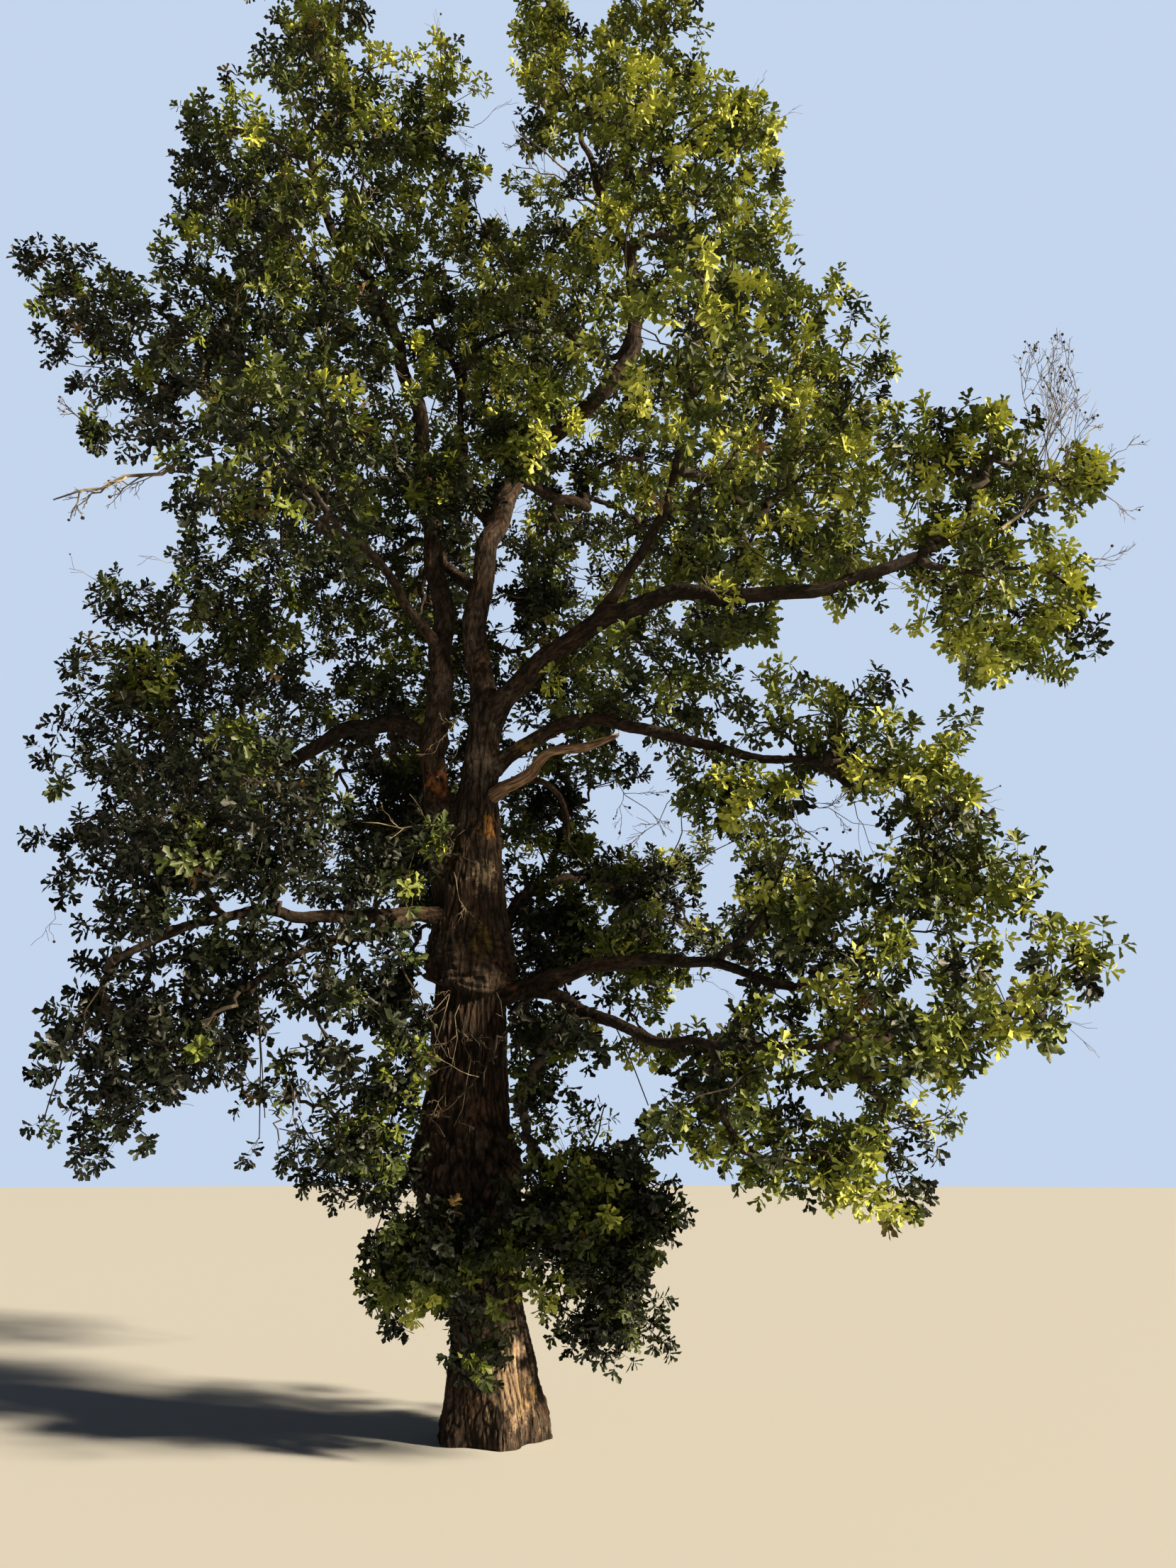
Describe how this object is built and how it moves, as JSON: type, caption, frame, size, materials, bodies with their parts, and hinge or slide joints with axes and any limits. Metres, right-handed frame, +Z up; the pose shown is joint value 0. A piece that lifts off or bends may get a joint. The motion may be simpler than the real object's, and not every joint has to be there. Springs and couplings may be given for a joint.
{
  "type": "oak tree",
  "caption": "Tall open-grown oak with a burled trunk that forks into upright stems, wide boughs, drooping foliage masses and a few bare dead limbs.",
  "frame": {"origin": "the middle of the flat cut under the trunk, at ground level", "axes": "+Z up, +X to the right and +Y away as the tree is seen in the picture"},
  "size_m": [12.3163, 9.5, 17.9961],
  "materials": {
    "bark": "rough grey-brown furrowed bark with ochre lichen and moss",
    "dead_wood": "dry weathered wood without bark",
    "foliage": "dense lobed leaves, half matte"
  },
  "bodies": {
    "root": {"trunk": "bark", "left_stem": "bark", "leader": "bark", "right_high_bough": "bark", "right_riser": "bark", "right_middle_bough": "bark", "dead_stub": "dead_wood", "back_low_bough": "bark", "right_low_bough": "bark", "right_low_fork": "bark", "left_middle_bough": "bark", "left_low_bough": "bark", "left_low_fork": "bark", "left_high_limb": "bark", "left_arm_limb": "bark", "leader_branch_left": "bark", "leader_branch_back": "bark", "back_high_bough": "bark", "dead_spire": "dead_wood", "top_left": "foliage", "top_left_shoulder": "foliage", "top_middle": "foliage", "upper_left_front": "foliage", "top_right_west": "foliage", "top_right_east": "foliage", "upper_right_shoulder": "foliage", "upper_right_front": "foliage", "left_arm_tip": "foliage", "left_arm": "foliage", "left_front": "foliage", "left_heart": "foliage", "middle_heart": "foliage", "right_front": "foliage", "right_shoulder": "foliage", "right_shoulder_outer": "foliage", "right_heart": "foliage", "right_arm": "foliage", "right_arm_tip": "foliage", "right_arm_spur": "foliage", "right_bough_crest": "foliage", "right_bough_root": "foliage", "right_bough_end": "foliage", "low_right_tip": "foliage", "low_right_heart": "foliage", "low_right_end": "foliage", "low_right_weeping": "foliage", "low_right_near": "foliage", "left_crest": "foliage", "left_end": "foliage", "left_inner": "foliage", "low_left_front": "foliage", "low_left_end": "foliage", "low_left_weeping": "foliage", "skirt_right": "foliage", "skirt_left": "foliage", "back_top": "foliage", "back_left_high": "foliage", "back_right_high": "foliage", "back_left_low": "foliage", "back_right_low": "foliage"}
  },
  "joints": []
}
